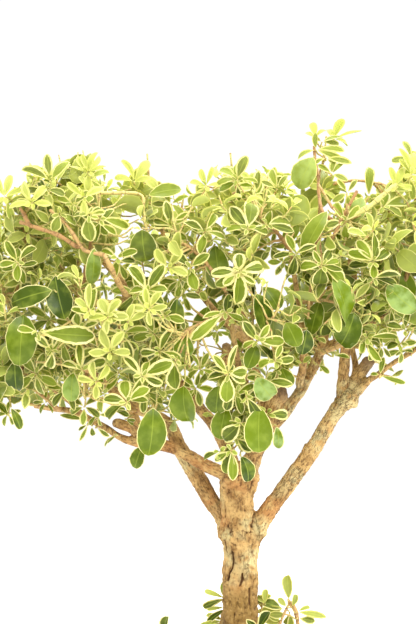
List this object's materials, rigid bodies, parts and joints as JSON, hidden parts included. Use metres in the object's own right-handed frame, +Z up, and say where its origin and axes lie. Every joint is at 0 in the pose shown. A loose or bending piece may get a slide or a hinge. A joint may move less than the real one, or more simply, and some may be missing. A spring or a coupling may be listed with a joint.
{
  "type": "serissa bonsai",
  "caption": "Small variegated-leaf shrub trained as a bonsai, with bare forked trunk and dense rounded crown, planted in a rectangular footed pot.",
  "frame": {"origin": "on the surface that the pot stands on, under the middle of the whole tree's spread, which is also the middle of the pot", "axes": "+Z up along the trunk, +X to the right and +Y away from the viewer when seen from the front"},
  "size_m": [0.289, 0.1869, 0.3634],
  "materials": {
    "pot_stoneware": "matte",
    "potting_soil": "matte",
    "drain_screen": "matte",
    "bark": "matte",
    "foliage": "satin",
    "young_foliage": "satin"
  },
  "bodies": {
    "root": {"drain_screen_left": "drain_screen", "drain_screen_right": "drain_screen", "far_left_sucker": "young_foliage", "far_right_sucker": "young_foliage", "left_sucker": "young_foliage", "pot": "pot_stoneware", "right_sucker": "young_foliage", "soil": "potting_soil", "spray_back_centre_high": "foliage", "spray_back_centre_left_high": "foliage", "spray_back_centre_left_low": "foliage", "spray_back_centre_left_mid": "foliage", "spray_back_centre_low": "foliage", "spray_back_centre_mid": "foliage", "spray_back_left_high": "foliage", "spray_back_left_low": "foliage", "spray_back_left_mid": "foliage", "spray_back_right_high": "foliage", "spray_back_right_inner_low": "foliage", "spray_back_right_inner_mid": "foliage", "spray_back_right_low": "foliage", "spray_centre_front_high": "foliage", "spray_centre_front_low": "foliage", "spray_centre_front_mid": "foliage", "spray_centre_left_front_high": "foliage", "spray_centre_left_front_low": "foliage", "spray_centre_left_front_mid": "foliage", "spray_centre_left_low": "foliage", "spray_centre_left_top": "foliage", "spray_centre_top": "foliage", "spray_crown_top": "foliage", "spray_left_edge_high": "foliage", "spray_left_edge_low": "foliage", "spray_left_front_high": "foliage", "spray_left_front_low": "foliage", "spray_left_front_mid": "foliage", "spray_left_inner_front_high": "foliage", "spray_left_inner_front_low": "foliage", "spray_left_inner_front_mid": "foliage", "spray_left_low": "foliage", "spray_left_top": "foliage", "spray_right_edge_high": "foliage", "spray_right_edge_low": "foliage", "spray_right_front_high": "foliage", "spray_right_front_mid": "foliage", "spray_right_inner_front_high": "foliage", "spray_right_inner_front_mid": "foliage", "spray_right_inner_low": "foliage", "spray_right_low": "foliage", "spray_right_top": "foliage", "woody_frame": "bark"}
  },
  "joints": []
}
